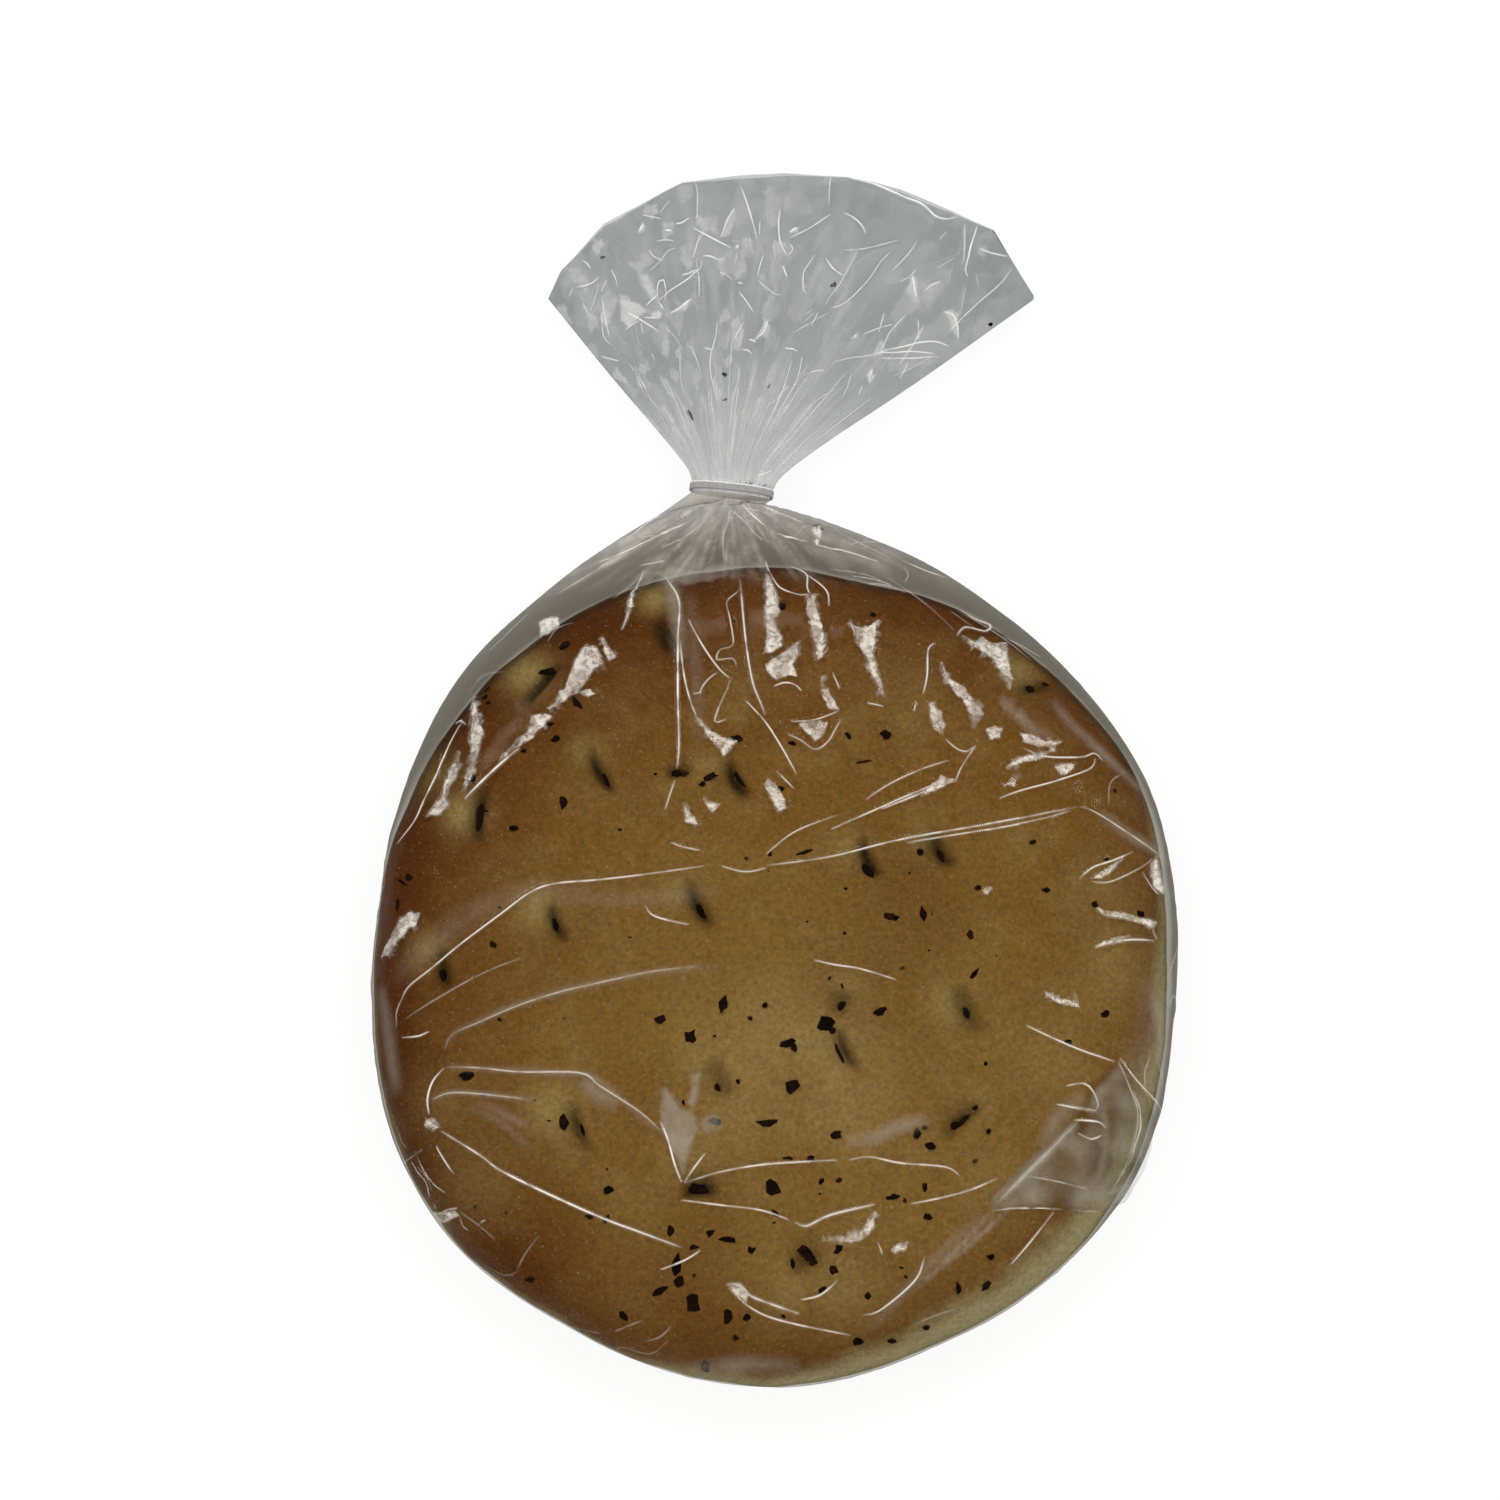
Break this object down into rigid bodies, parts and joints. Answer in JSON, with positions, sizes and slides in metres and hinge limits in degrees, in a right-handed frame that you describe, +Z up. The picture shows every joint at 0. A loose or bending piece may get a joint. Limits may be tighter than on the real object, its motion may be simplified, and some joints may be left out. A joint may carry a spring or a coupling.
{
  "type": "bagged focaccia",
  "caption": "Round flat herb bread with fingertip dimples in a clear film bag, gathered and tied at the neck, its mouth spread as a pleated fan.",
  "frame": {"origin": "centre of the loaf's flat underside, on the surface that the bread lies on", "axes": "+Z up out of the crust, +Y from the loaf towards the tied neck and the fan, +X to the right seen from above"},
  "size_m": [0.2415, 0.3896, 0.0355],
  "materials": {
    "film": "thin clear plastic film, glossy, with sharp crinkles and milky folds",
    "crust": "baked bread crust, golden tan, browner at the rim, paler at the side and round the dimples",
    "herb": "dried dark herb flakes, matte",
    "tie": "narrow milky clear plastic band"
  },
  "bodies": {
    "root": {"bag": "film", "neck_tie": "tie"}
  },
  "joints": []
}
